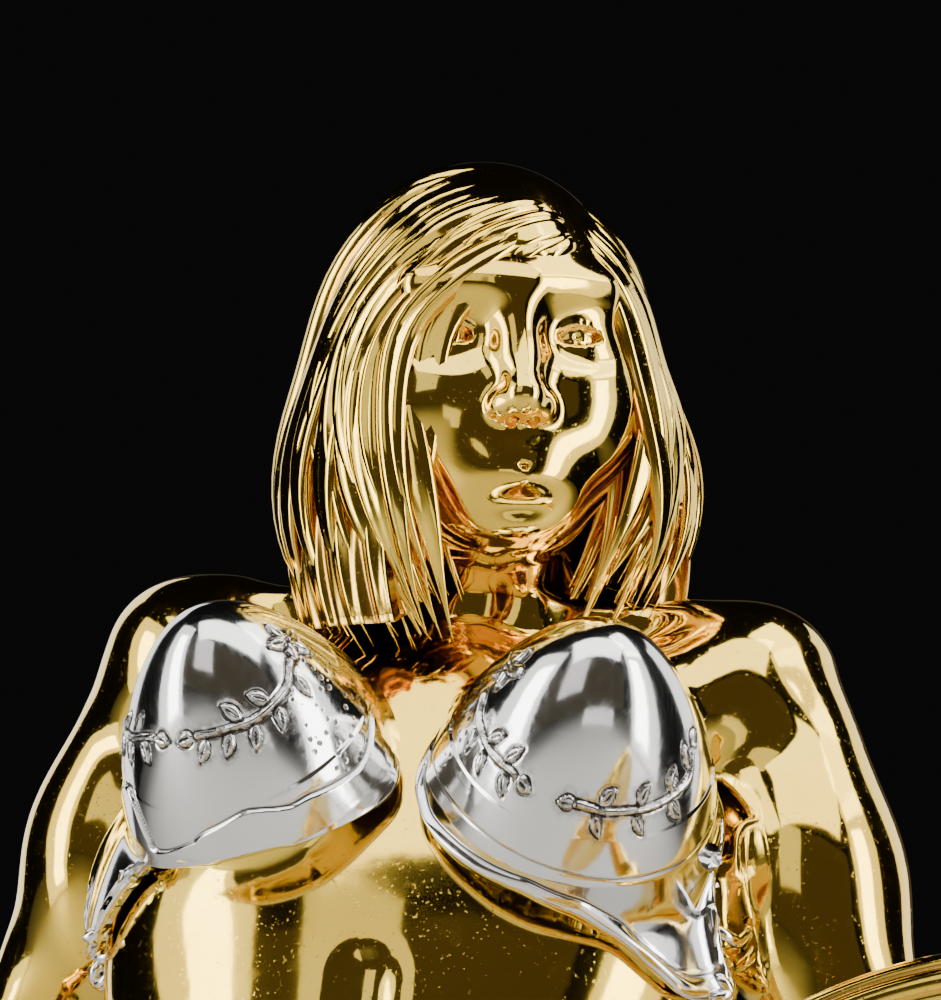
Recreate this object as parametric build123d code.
from build123d import *
from math import atan2, cos, degrees, radians, sin, tan
import os

# A standing figure trophy: a plated female figure with tooled breastplates, a draped
# skirt and a round shield, drawn down on a stepped plinth by one tie rod.
# Millimetres. +Z up, the figure faces -Y, its left hand side is +X.
# The origin is the centre of the plinth's underside.

# ---- plinth ----
pad_thickness = 1.6
pad_inset = 3.0
plinth_foot_radius = 54.0
plinth_foot_height = 7.0
plinth_body_radius = 49.0
plinth_body_height = 17.0
collar_radius = 47.0
collar_height = 3.4
plinth_top_radius = 43.0
plinth_top_height = 7.0
edge_round = 1.6
plate_height = 8.5
plate_angle = 44.0
plate_thickness = 0.9
pin_radius = 0.7
pin_length = 5.0
pin_head_radius = 1.3
pin_head_height = 0.7

# ---- tie rod and core ----
rod_radius = 2.5
rod_clearance = 0.25
rod_grip_in_torso = 34.0
nut_across_flats = 8.0
nut_height = 4.0
washer_radius = 6.5
washer_thickness = 1.0
nut_room = 2.5
core_wall = 2.0

# ---- skirt and girdle ----
skirt_foot_width = 38.0
skirt_foot_depth = 34.0
skirt_wall = 1.6
skirt_top_drop = 32.0
girdle_height = 8.0
girdle_wall = 1.8
clasp_radius = 5.2
clasp_height = 2.6

# ---- torso, measured from the waist ----
waist_height = 185.0
lean_angle = 10.0
hip_drop = 36.0
hip_half = (25.5, 18.0)
waist_half = (22.0, 15.0)
rib_rise = 20.0
rib_half = (28.8, 17.0)
rib_shift = -1.6
chest_rise = 38.0
chest_half = (26.0, 15.5)
shoulder_slope_half = (17.0, 11.5)
shoulder_slope_rise = 51.0
neck_rise = 58.0
neck_half = (8.4, 8.4)
neck_shift = 5.0
shoulder_half_span = 28.8
shoulder_rise = 50.5
shoulder_radius = 8.9
yoke_radius = 10.0
seam_half_span = 25.2
seam_tilt = 9.0

# ---- arms ----
upper_arm_radius = 8.2
elbow_radius = 6.4
forearm_radius = 6.0
wrist_radius = 4.0
right_elbow = Vector(-46.2, 24.0, -1.0)
right_wrist = Vector(-33.5, -8.0, -18.5)
right_hand = Vector(-28.0, -13.5, -20.0)
right_hand_half = (4.2, 8.0, 4.6)
left_elbow = Vector(46.0, 2.0, -3.0)
left_hand_half = (7.2, 7.6, 7.0)
dowel_radius = 2.0
dowel_length = 12.0

# ---- head and hair ----
head_rise = 79.6
head_half = (14.6, 17.4, 20.4)
head_shift = 1.3
head_set_back = 2.0
head_tilt = 8.0
head_turn = 18.0
hair_thickness = 3.2
hair_end_rise = 56.0
hair_end_half = (21.5, 15.0)
brow_rise = 10.0
face_opening_half = 11.0

# ---- breastplates ----
cup_radius = 12.9
cup_length = 17.0
cup_wall = 0.9
cup_side = 14.3
cup_rise = 33.8
cup_forward = 13.2
cup_turn_out = 14.0
cup_tilt_up = 25.0
band_width = 2.6
band_wall = 1.3
band_start = 185.0
band_sweep = 170.0
strap_rise = 20.5
strap_width = 6.0
strap_wall = 1.2
strap_gap = 2.4
knot_turn = 12.0
knot_radius = 1.8
knot_lift = 0.3
tail_length = 5.5
lace_count = 3
lace_radius = 0.35
lace_lift = 0.6
lace_slant = 28.0
peg_radius = 1.1
peg_grip = 8.0

# ---- shield ----
shield_radius = 39.2
shield_dish = 6.5
shield_wall = 1.6
shield_roll = 1.9
shield_turn = 17.5
shield_centre = Vector(52.0, -45.0, -21.0)
boss_radius = 9.0
boss_height = 4.5
rivet_count = 16
rivet_radius = 1.0
rivet_inset = 4.2
grip_radius = 1.9
grip_span = 24.0
grip_stand = 10.0

fit_gap = 0.12
bore_gap = 0.03

# ---- derived levels ----
foot_top = pad_thickness + plinth_foot_height
body_top = foot_top + plinth_body_height
collar_top = body_top + collar_height
plinth_height = collar_top + plinth_top_height
waist_z = plinth_height + waist_height
hip_z = waist_z - hip_drop
skirt_top_z = waist_z - skirt_top_drop
skirt_length = skirt_top_z - plinth_height

parts = {}


def solid_of(shape):
    # the one solid of a boolean's result, or the largest when slivers remain
    return max(shape.solids(), key=lambda s: s.volume)


def chest_plane(rise):
    # a section plane through the body axis, leaning back above the waist
    angle = lean_angle if rise > 0 else lean_angle / 2 if rise == 0 else 0
    centre = Vector(0, rise * sin(radians(angle)), waist_z + rise * cos(radians(angle)))
    return Plane(origin=centre, x_dir=(1, 0, 0), z_dir=(0, sin(radians(angle)), cos(radians(angle))))


def on_chest(side, forward, rise):
    # a point given in the leaning chest frame: +side is the figure's left
    return chest_plane(rise).from_local_coords(Vector(side, -forward, 0))


def from_waist(offset):
    return Vector(offset.X, offset.Y, waist_z + offset.Z)


def limb(start, end, start_radius, end_radius):
    way = end - start
    cone = Solid.make_cone(start_radius, end_radius, way.length, Plane(origin=start, z_dir=way))
    return cone + Pos(*start) * Sphere(start_radius) + Pos(*end) * Sphere(end_radius)


def ellipsoid(centre, half, turn=(0, 0, 0)):
    return Pos(*centre) * Rot(*turn) * scale(Sphere(1), by=half)


def rod_between(start, way, length, radius):
    return Solid.make_cylinder(radius, length, Plane(origin=start, z_dir=way))


# ---- plinth ----
def ring_profile(radius, bottom, top, bore):
    outline = Plane.XZ * Pos((radius + bore) / 2, (bottom + top) / 2) * Rectangle(radius - bore, top - bottom)
    outer = [v for v in outline.vertices() if v.X > radius - 0.01]
    return revolve(fillet(outer, min(edge_round, (top - bottom) / 2 - 0.1)), Axis.Z)


def build_plinth():
    bore = rod_radius + rod_clearance
    nut_pocket_radius = washer_radius + 2.5
    pocket_depth = nut_height + washer_thickness + nut_room
    pocket = Pos(0, 0, pad_thickness) * Cylinder(nut_pocket_radius, 2 * pocket_depth)
    body = ring_profile(plinth_foot_radius, pad_thickness, foot_top, bore)
    body += ring_profile(plinth_body_radius, foot_top - 0.5, body_top, bore)
    body -= pocket
    pad = Pos(0, 0, pad_thickness / 2) * Cylinder(plinth_foot_radius - pad_inset, pad_thickness)
    collar = ring_profile(collar_radius, body_top, collar_top, bore)
    top = ring_profile(plinth_top_radius, collar_top, plinth_height, bore)

    plate_z = (foot_top + body_top) / 2
    inner = plinth_body_radius + bore_gap
    plate = Cylinder(inner + plate_thickness, plate_height) - Cylinder(inner, 2 * plate_height)
    wedge = make_face(Polyline((0, 0), *[(90 * sin(radians(a)), -90 * cos(radians(a)))
                                        for a in (-plate_angle / 2, 0, plate_angle / 2)], close=True))
    plate = Pos(0, 0, plate_z) * (plate & extrude(wedge, plate_height, both=True))
    pins = []
    for side in (-1, 1):
        angle = radians(side * (plate_angle / 2 - 3.5))
        out = Vector(sin(angle), -cos(angle), 0)
        seat = out * (inner + plate_thickness + bore_gap) + Vector(0, 0, plate_z)
        tail = out * (inner + plate_thickness - pin_length) + Vector(0, 0, plate_z)
        hole = rod_between(tail - out * 0.2, out, pin_length + 2, pin_radius + bore_gap)
        body -= hole
        plate -= hole
        shank = rod_between(tail, out, pin_length + 0.3, pin_radius)
        head = Pos(*seat) * scale(Sphere(pin_head_radius), by=(1, 1, 1))
        cap = Plane(origin=seat, z_dir=out) * Pos(0, 0, 5) * Box(10, 10, 10)
        pins.append(solid_of(shank + (head & cap)))
    parts["base_pad"] = pad
    parts["plinth_body"] = body
    parts["plinth_collar"] = collar
    parts["plinth_top"] = top
    parts["name_plate"] = plate
    parts["plate_pins"] = Compound(pins)


def build_tie_rod():
    washer_z = pad_thickness + nut_height + nut_room
    nut = Pos(0, 0, washer_z - nut_height / 2) * extrude(
        RegularPolygon(nut_across_flats / 2, 6, major_radius=False), nut_height / 2, both=True)
    nut -= Cylinder(rod_radius + bore_gap, 6 * plinth_height)
    washer = Pos(0, 0, washer_z + washer_thickness / 2) * (
        Cylinder(washer_radius, washer_thickness) - Cylinder(rod_radius + bore_gap, 2 * washer_thickness))
    bottom = washer_z - nut_height - 1.2
    length = hip_z + rod_grip_in_torso - bottom
    rod = Pos(0, 0, bottom + length / 2) * Cylinder(rod_radius, length)
    core_length = hip_z - plinth_height
    core = Pos(0, 0, plinth_height + core_length / 2) * (
        Cylinder(rod_radius + rod_clearance + core_wall, core_length)
        - Cylinder(rod_radius + rod_clearance, 2 * core_length))
    parts["rod_nut"] = nut
    parts["rod_washer"] = washer
    parts["tie_rod"] = rod
    parts["core_tube"] = core


# ---- body forms ----
def torso_form(grow=0.0):
    sections = [
        (-hip_drop, hip_half, 0),
        (-hip_drop * 0.75, (hip_half[0] - 0.2, hip_half[1] - 0.3), 0),
        (-hip_drop * 0.5, (hip_half[0] * 0.7 + waist_half[0] * 0.3, hip_half[1] * 0.7 + waist_half[1] * 0.3), 0),
        (0, waist_half, rib_shift / 2),
        (rib_rise * 0.5, ((waist_half[0] + rib_half[0]) / 2, (waist_half[1] + rib_half[1]) / 2), rib_shift),
        (rib_rise, rib_half, rib_shift),
        (chest_rise, chest_half, 0),
        (shoulder_slope_rise, shoulder_slope_half, neck_shift / 2),
        (neck_rise, neck_half, neck_shift),
    ]
    faces = [chest_plane(rise) * Pos(shift, 0) * Ellipse(half[0] + grow, half[1] + grow)
             for rise, half, shift in sections]
    return loft(faces)


def shoulder_point(side):
    return on_chest(side * shoulder_half_span, 0, shoulder_rise)


def shoulder_yoke(grow=0.0):
    middle = on_chest(0, 0, shoulder_rise - 1)
    yoke = None
    for side in (-1, 1):
        half = limb(middle, shoulder_point(side), yoke_radius + grow, shoulder_radius + grow)
        yoke = half if yoke is None else yoke + half
    return yoke


def arm_side(side):
    # the half space outside the shoulder seam
    size = 200
    seam = on_chest(side * seam_half_span, 0, shoulder_rise)
    block = Pos(side * size / 2, 0, 0) * Box(size, size, size)
    return Pos(*seam) * Rot(-lean_angle, side * -seam_tilt, 0) * block


def cup_plane(side):
    base = on_chest(side * cup_side, cup_forward, cup_rise)
    turn = radians(cup_turn_out)
    tilt = radians(cup_tilt_up + lean_angle)
    out = Vector(side * sin(turn) * cos(tilt), -cos(turn) * cos(tilt), sin(tilt))
    return Plane(origin=base, x_dir=Vector(1, 0, 0).cross(out).cross(out) * -1, z_dir=out)


def cup_form(side, grow):
    # a cone with a rounded apex, closed by its base disc
    radius = cup_radius + grow
    length = cup_length + grow
    edge = Spline((radius, 0), (radius * 0.86, length * 0.42), (radius * 0.5, length * 0.82), (0, length),
                  tangents=((-0.15, 1), (-1, -0.05)))
    rim = Polyline((0, length), (0, -9), (radius, -9), (radius, 0))
    return cup_plane(side) * revolve(Plane.XZ * make_face([edge, rim]), Axis.Z)


def build_torso():
    body = torso_form() + shoulder_yoke()
    for side in (-1, 1):
        body -= arm_side(side)
        body += cup_form(side, -cup_wall - fit_gap)
    hip_trim = Pos(0, 0, hip_z - 50) * Box(200, 200, 100)
    body -= hip_trim
    body -= Pos(0, 0, hip_z) * Cylinder(rod_radius + bore_gap, 2 * rod_grip_in_torso + 1)
    neck_top = chest_plane(neck_rise)
    body -= neck_top * Pos(neck_shift, 0, 50) * Box(40, 40, 100)
    body -= neck_top * Pos(neck_shift, 0, 0) * Cylinder(dowel_radius + bore_gap, dowel_length + 0.4)
    dowels = []
    for side in (-1, 1):
        seat = on_chest(side * seam_half_span, 0, shoulder_rise)
        dowel = Pos(*seat) * Rot(0, 90, 0) * Cylinder(dowel_radius, dowel_length)
        body -= Pos(*seat) * Rot(0, 90, 0) * Cylinder(dowel_radius + bore_gap, dowel_length + 0.4)
        dowels.append(dowel.solid())
    pegs = []
    for side in (-1, 1):
        axis = cup_plane(side)
        tip = cup_length - cup_wall - fit_gap
        hole = axis * Pos(0, 0, tip / 2 - peg_grip / 2) * Cylinder(peg_radius + bore_gap, tip + peg_grip)
        peg = axis * Pos(0, 0, tip / 2 - peg_grip / 2) * Cylinder(peg_radius, tip + peg_grip - 0.6)
        body -= hole
        pegs.append(peg.solid())
    parts["torso"] = solid_of(body)
    parts["neck_dowel"] = neck_top * Pos(neck_shift, 0, 0) * Cylinder(dowel_radius, dowel_length)
    parts["shoulder_dowels"] = Compound(dowels)
    parts["breastplate_pegs"] = Compound(pegs)


def head_centre():
    return on_chest(head_shift, -head_set_back, 0) + Vector(0, 0, head_rise)


def head_form(grow=0.0):
    turn = (0, -head_tilt, head_turn)
    centre = head_centre()
    half = [h + grow for h in head_half]
    skull_half = (half[0], half[1], half[1] * 0.98)
    skull = ellipsoid(centre + Vector(0, 1.5, head_half[2] - head_half[1] * 0.98), skull_half, turn)
    forward = Vector(sin(radians(head_turn)), -cos(radians(head_turn)), 0) * 5.0
    face = ellipsoid(centre + forward - Vector(0, 0, 4.5), (half[0] * 0.86, half[1] * 0.66, half[2] - 4.5), turn)
    seat = chest_plane(neck_rise) * Pos(neck_shift, 0)
    neck_way = centre - seat.position
    neck = Solid.make_cone(neck_half[0] - 0.4 + grow, neck_half[0] - 1.2 + grow, neck_way.length,
                           Plane(origin=seat.position - neck_way * 0.2, z_dir=neck_way))
    return skull + face + neck


def build_head():
    neck_top = chest_plane(neck_rise)
    head = head_form()
    head -= neck_top * Pos(neck_shift, 0, -50) * Box(60, 60, 100)
    head -= neck_top * Pos(neck_shift, 0, 0) * Cylinder(dowel_radius + bore_gap, dowel_length + 0.4)
    parts["head"] = solid_of(head)


def build_hair():
    centre = head_centre()
    crown = centre.Z + head_half[2] + hair_thickness - 1
    ends = waist_z + hair_end_rise
    drop = crown - ends
    width, depth = head_half[0] + hair_thickness, head_half[1] + hair_thickness - 1
    sections = [
        (0.0, 3.0, 3.0), (0.05, width * 0.55, depth * 0.62), (0.16, width * 0.86, depth * 0.88),
        (0.4, width, depth), (0.72, width * 1.06, depth * 0.9), (1.0, hair_end_half[0], hair_end_half[1]),
    ]
    faces = []
    for share, half_width, half_depth in sections:
        z = crown - share * drop
        slide = head_shift + (centre.Z - z) * sin(radians(head_tilt)) * 0.6
        back = centre.Y + 1.5
        faces.append(Plane.XY.offset(z) * Pos(slide, back) * Rot(0, 0, head_turn * 0.5) * Ellipse(half_width, half_depth))
    hair = loft(faces)
    hair -= head_form(fit_gap)
    opening_height = centre.Z + brow_rise - ends + 20
    opening = Box(2 * face_opening_half, 60, opening_height)
    hair -= Pos(centre.X, centre.Y, ends - 20) * Rot(0, 0, head_turn) * Pos(0, -30 - 3, opening_height / 2) * opening
    hair -= torso_form(fit_gap)
    hair -= shoulder_yoke(fit_gap)
    for side in (-1, 1):
        hair -= Pos(*shoulder_point(side)) * Sphere(shoulder_radius + 2 * fit_gap)
    parts["hair"] = solid_of(hair)


# ---- arms ----
def grip_frame():
    turn = radians(shield_turn)
    out = Vector(-sin(turn), -cos(turn), 0)
    return Plane(origin=from_waist(shield_centre), x_dir=(-cos(turn), sin(turn), 0), z_dir=out)


def build_arms():
    grip = grip_frame().from_local_coords(Vector(0, 0, -grip_stand + shield_dish))
    places = {
        "right_arm": (-1, from_waist(right_elbow), from_waist(right_wrist)),
        "left_arm": (1, from_waist(left_elbow), None),
    }
    for name, (side, elbow, wrist) in places.items():
        shoulder = shoulder_point(side)
        if wrist is None:
            way = (elbow - grip).normalized()
            wrist = grip + way * (left_hand_half[1] + 2)
            hand_at = grip
        else:
            hand_at = from_waist(right_hand)
        upper = limb(shoulder, elbow, upper_arm_radius, elbow_radius)
        upper += Pos(*shoulder) * Sphere(shoulder_radius)
        fore = limb(elbow, wrist, forearm_radius, wrist_radius)
        reach = hand_at - wrist
        yaw = degrees(atan2(reach.Y, reach.X)) - 90
        hand = ellipsoid(hand_at, right_hand_half if side < 0 else left_hand_half, (0, 0, yaw))
        arm = upper + fore + hand
        arm = arm & arm_side(side)
        seat = on_chest(side * seam_half_span, 0, shoulder_rise)
        arm -= Pos(*seat) * Rot(0, 90, 0) * Cylinder(dowel_radius + bore_gap, dowel_length + 0.4)
        if side > 0:
            arm -= shield_grip_form(bore_gap)
        else:
            arm -= skirt_form(fit_gap + 0.2)
            arm -= girdle_form(girdle_wall + fit_gap + 0.2)
        arm -= torso_form(fit_gap)
        parts[name] = solid_of(arm)


# ---- skirt and girdle ----
def skirt_form(grow=0.0):
    top = (hip_half[0] + skirt_wall + 0.4, hip_half[1] + skirt_wall + 0.4)
    sections = [
        (0.0, (skirt_foot_width, skirt_foot_depth)),
        (0.25, (top[0] + (skirt_foot_width - top[0]) * 0.55, top[1] + (skirt_foot_depth - top[1]) * 0.55)),
        (0.65, (top[0] + 1.2, top[1] + 1.8)),
        (1.0, top),
    ]
    faces = [Plane.XY.offset(plinth_height + share * skirt_length) * Ellipse(half[0] + grow, half[1] + grow)
             for share, half in sections]
    return loft(faces)


def girdle_form(grow):
    return loft([Plane.XY.offset(skirt_top_z + z) * Ellipse(hip_half[0] + grow, hip_half[1] + grow)
                 for z in (0, girdle_height)])


def build_skirt():
    skirt = skirt_form() - skirt_form(-skirt_wall) - torso_form(fit_gap)
    parts["skirt"] = solid_of(skirt)
    girdle = girdle_form(girdle_wall) - torso_form(fit_gap)
    parts["girdle"] = solid_of(girdle)
    front = Vector(0, -hip_half[1] - girdle_wall, skirt_top_z + girdle_height / 2)
    clasp = Plane(origin=front, z_dir=(0, -1, 0)) * scale(Sphere(1), by=(clasp_radius, clasp_radius, clasp_height))
    parts["girdle_clasp"] = solid_of(clasp - girdle_form(girdle_wall + bore_gap) - skirt_form(bore_gap))


# ---- breastplates ----
def knot_seat(side, rise, stand):
    # where the strap parts on the chest's side, stand mm off the torso; the two places are turned about the body
    slant = atan2(rib_half[0] * tan(radians(knot_turn)), rib_half[1])
    across, back = side * rib_half[0] * cos(slant), -side * rib_half[1] * sin(slant)
    out = Vector(side * cos(slant) / rib_half[0], -side * sin(slant) / rib_half[1], 0).normalized()
    return chest_plane(rise) * Pos(rib_shift + across + out.X * stand, back + out.Y * stand)


def strap_layer():
    layer = torso_form(strap_wall + fit_gap) - torso_form(fit_gap)
    level = chest_plane(strap_rise)
    return layer & (level * Box(200, 200, strap_width))


def build_breastplates():
    strap = strap_layer()
    parting = Pos(rib_shift, on_chest(0, 0, strap_rise).Y, waist_z) * Rot(0, 0, -knot_turn)
    behind = parting * Pos(0, strap_gap / 2 + 50, 0) * Box(200, 100, 200)
    parts["back_strap"] = solid_of(strap & behind)
    front = parting * Pos(0, -strap_gap / 2 - 50, 0) * Box(200, 100, 200)
    tabs = strap & front
    laces = []
    for side, name in ((-1, "right"), (1, "left")):
        frame = cup_plane(side)
        shell = cup_form(side, 0) - cup_form(side, -cup_wall)
        shell -= torso_form(fit_gap)
        shell -= shoulder_yoke(fit_gap)
        shell -= cup_form(-side, bore_gap - cup_wall - fit_gap)
        if side > 0:
            shell -= parts["right_breastplate"]
        shell = solid_of(shell)
        parts[name + "_breastplate"] = shell

        ring = frame * revolve(Plane.XZ * Pos(cup_radius + fit_gap + band_wall / 2 + 0.1, 0)
                               * Rectangle(band_wall, 2 * band_width), Axis.Z)
        ring -= cup_form(side, fit_gap)
        lower = level_below(side)
        ring = ring & lower
        tab_zone = Pos(side * (15 + 50), 0, waist_z) * Box(100, 200, 200)
        tab = (tabs & tab_zone) - cup_form(side, fit_gap)
        band = solid_of(ring + tab) - torso_form(fit_gap)
        if side > 0:
            band -= parts["right_cup_band"]
        else:
            band -= cup_form(1, fit_gap)
        parts[name + "_cup_band"] = solid_of(band)

        knot_at = knot_seat(side, strap_rise, strap_wall + fit_gap + knot_radius + knot_lift)
        knot = Pos(*knot_at.position) * Sphere(knot_radius)
        for spread in (-22, 22):
            way = Vector(side * 0.18, sin(radians(spread)), -cos(radians(spread)))
            knot += Solid.make_cone(knot_radius * 0.6, knot_radius * 0.25, knot_radius + tail_length,
                                    Plane(origin=knot_at.position, z_dir=way))
        parts[name + "_side_knot"] = solid_of(knot)
        for i in range(lace_count):
            rise = strap_rise + strap_width * ((i + 0.5) / lace_count - 0.5)
            if abs(rise - strap_rise) < 0.1:
                continue
            seat = knot_seat(side, rise, strap_wall + fit_gap + lace_radius + lace_lift)
            lie = Pos(*seat.position) * Rot(0, 0, -lace_slant) * Rot(90, 0, 0)
            lace = lie * Cylinder(lace_radius, strap_gap + 2)
            laces.append(lace.solid())
    parts["side_lacing"] = Compound(laces)


def level_below(side):
    # the lower half of the cup's rim, where the band runs
    frame = cup_plane(side)
    return Pos(*frame.origin) * Rot(-lean_angle, 0, 0) * Pos(0, 0, -50 + 1.5) * Box(200, 200, 100)


# ---- shield ----
def dish_arc(radius):
    # the radius of the sphere that gives the dish its depth
    edge = shield_radius - 2 * shield_roll
    return (edge ** 2 + radius ** 2) / (2 * radius)


def shield_grip_form(grow=0.0):
    frame = grip_frame()
    bar = frame * Pos(0, 0, -grip_stand + shield_dish) * Rot(90, 0, 0) * Cylinder(grip_radius + grow, grip_span)
    for end in (-1, 1):
        foot_length = grip_stand
        bar += frame * Pos(0, end * grip_span / 2, -grip_stand + shield_dish + foot_length / 2) * Cylinder(
            grip_radius + grow, foot_length)
        bar += frame * Pos(0, end * grip_span / 2, -grip_stand + shield_dish) * Sphere(grip_radius + grow)
    return bar


def build_shield():
    frame = grip_frame()
    edge = shield_radius - 2 * shield_roll
    ball = dish_arc(shield_dish)
    middle = Pos(0, 0, shield_dish - ball)
    cap = (middle * Sphere(ball)) - (middle * Sphere(ball - shield_wall))
    keep = Pos(0, 0, 50 - 2) * Cylinder(edge - fit_gap, 100)
    plate = solid_of(cap & keep)
    rim = revolve(Plane.XZ * Pos(shield_radius - shield_roll, 0) * Circle(shield_roll), Axis.Z)
    boss = Pos(0, 0, shield_dish - 0.6) * scale(Sphere(1), by=(boss_radius, boss_radius, boss_height + 0.6))
    boss -= middle * Sphere(ball + bore_gap)
    grip = shield_grip_form()
    grip -= frame * (middle * Sphere(200) - middle * Sphere(ball - shield_wall - bore_gap))
    rivets = []
    for i in range(rivet_count):
        angle = radians(360 * i / rivet_count)
        reach = edge - rivet_inset
        height = (ball ** 2 - reach ** 2) ** 0.5 + shield_dish - ball
        out = Vector(reach * cos(angle), reach * sin(angle), height - (shield_dish - ball))
        seat = Vector(reach * cos(angle), reach * sin(angle), height)
        head = Pos(*seat) * Sphere(rivet_radius) - (middle * Sphere(ball + bore_gap))
        rivets.append(solid_of(frame * head))
    parts["shield_plate"] = frame * plate
    parts["shield_rim"] = frame * rim
    parts["shield_boss"] = frame * solid_of(boss)
    parts["shield_grip"] = solid_of(grip)
    parts["shield_rivets"] = Compound(rivets)


build_plinth()
build_tie_rod()
build_torso()
build_head()
build_hair()
build_skirt()
build_arms()
build_breastplates()
build_shield()

os.makedirs("parts", exist_ok=True)
for name, shape in parts.items():
    shape.label = name
    export_step(shape, f"parts/{name}.step")
print(len(parts), "nodes written")
